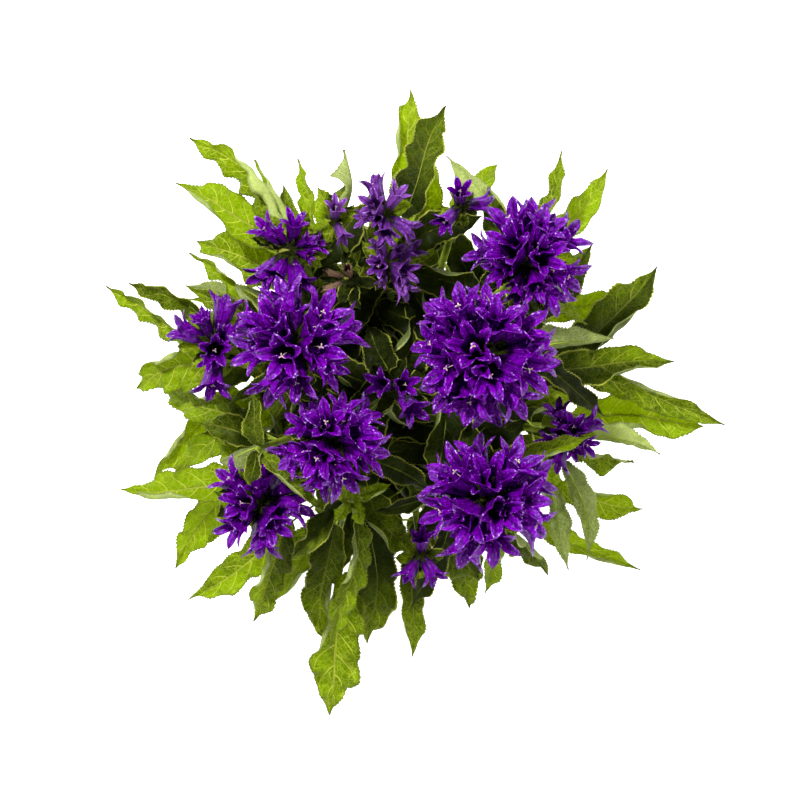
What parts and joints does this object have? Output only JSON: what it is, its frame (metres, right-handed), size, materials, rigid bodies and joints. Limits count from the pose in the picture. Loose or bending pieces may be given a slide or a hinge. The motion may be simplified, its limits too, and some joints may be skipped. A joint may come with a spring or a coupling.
{
  "type": "potted clustered bellflower",
  "caption": "Potted clustered bellflower with leafy stems and violet bell-flower heads, standing on its flat pot base.",
  "frame": {"origin": "centre of the pot's flat base, on the surface that the pot stands on", "axes": "+Z up; +X right and +Y up in the picture, which looks straight down"},
  "size_m": [0.351, 0.361, 0.3398],
  "materials": {
    "pot": "satin moulded brown plastic",
    "soil": "damp crumbly peat",
    "leaf": "soft hairy green leaves and stems with paler veins",
    "petal": "violet petals with fine lengthwise veins and a soft sheen",
    "faded_petal": "paler lilac petals that are going over",
    "spent_petal": "dry brown withered bells",
    "style": "cream three-lobed styles"
  },
  "bodies": {
    "root": {"pot": "pot", "soil": "soil", "stem_north": "leaf", "stem_north_side": "leaf", "stem_north_small": "leaf", "stem_northeast": "leaf", "stem_east": "leaf", "stem_east_low": "leaf", "stem_southeast": "leaf", "stem_south_low": "leaf", "stem_southwest": "leaf", "stem_southwest_low": "leaf", "stem_west": "leaf", "stem_west_low": "leaf", "stem_northwest": "leaf", "stem_centre": "leaf", "stem_lilac": "leaf", "stem_spent": "leaf", "stem_young": "leaf", "stem_small": "leaf", "head_north": "faded_petal", "head_north_side": "faded_petal", "head_north_small": "petal", "head_northeast": "petal", "head_east": "petal", "head_east_low": "petal", "head_southeast": "petal", "head_south_low": "petal", "head_southwest": "petal", "head_southwest_low": "petal", "head_west": "petal", "head_west_low": "petal", "head_northwest": "petal", "head_centre": "petal", "head_lilac": "faded_petal", "head_spent": "spent_petal"}
  },
  "joints": []
}
